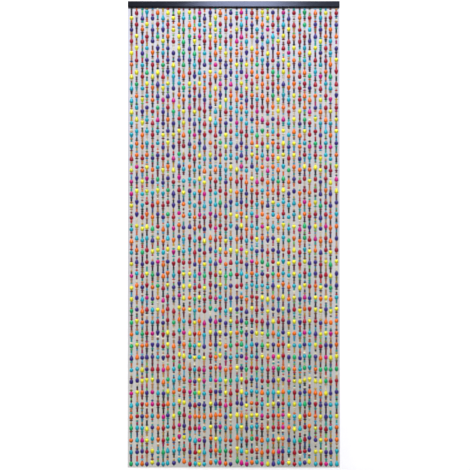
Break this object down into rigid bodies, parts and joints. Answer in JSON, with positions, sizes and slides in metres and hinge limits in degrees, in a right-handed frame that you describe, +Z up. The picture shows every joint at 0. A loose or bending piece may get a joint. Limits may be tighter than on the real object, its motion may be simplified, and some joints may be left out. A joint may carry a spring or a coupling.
{
  "type": "bead curtain with header rail",
  "caption": "Door curtain of threaded wooden beads in mixed bright colours, hanging from a black lacquered header rail that lies flat against a wall.",
  "frame": {"origin": "centre of the header rail's flat back face, which lies against the wall", "axes": "+Z up, +X to the right as seen from the front, front faces -Y, the wall is on the +Y side"},
  "size_m": [0.9, 0.02, 1.98],
  "materials": {
    "black_lacquer": "black satin lacquer on wood",
    "bead_wood": "gloss-lacquered wooden beads, dyed in bright and natural colours"
  },
  "bodies": {
    "root": {"header_rail": "black_lacquer", "bead_strings": "bead_wood"}
  },
  "joints": []
}
